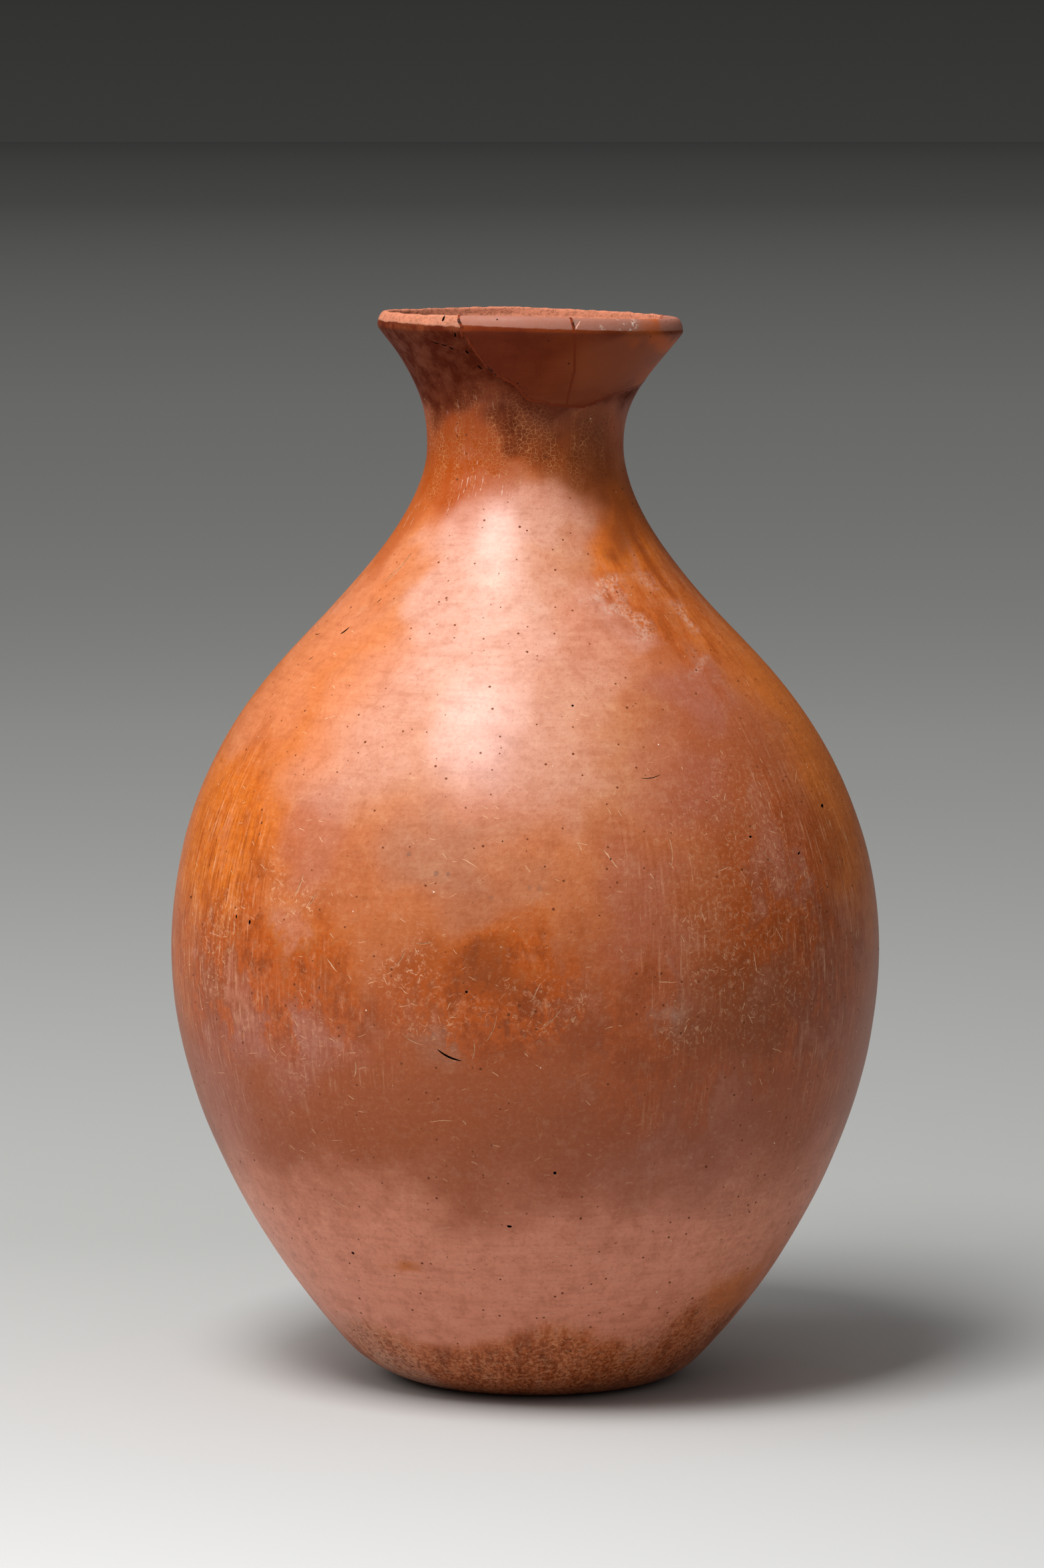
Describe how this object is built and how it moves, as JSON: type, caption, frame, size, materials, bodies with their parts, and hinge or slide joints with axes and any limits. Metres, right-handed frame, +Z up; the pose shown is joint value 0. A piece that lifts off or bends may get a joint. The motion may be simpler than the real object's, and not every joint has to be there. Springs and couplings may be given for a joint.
{
  "type": "pottery flask",
  "caption": "Hand-built round-bodied pottery flask with a narrow neck, a flared mouth and a mended rim, standing on a small flat base.",
  "frame": {"origin": "on the standing surface, under the centre of the belly", "axes": "+Z up through the mouth; -Y is the side with the mended part of the rim, as seen in the picture; +X to the right of that view"},
  "size_m": [0.1726, 0.1726, 0.2614],
  "materials": {
    "burnished_red_slip": "burnished",
    "mended_rim_clay": "satin",
    "dark_adhesive": "matte"
  },
  "bodies": {
    "root": {"flask_body": "burnished_red_slip", "rim_piece_left": "mended_rim_clay", "rim_piece_right": "mended_rim_clay", "mend_line_round_break": "dark_adhesive", "mend_line_between_pieces": "dark_adhesive"}
  },
  "joints": []
}
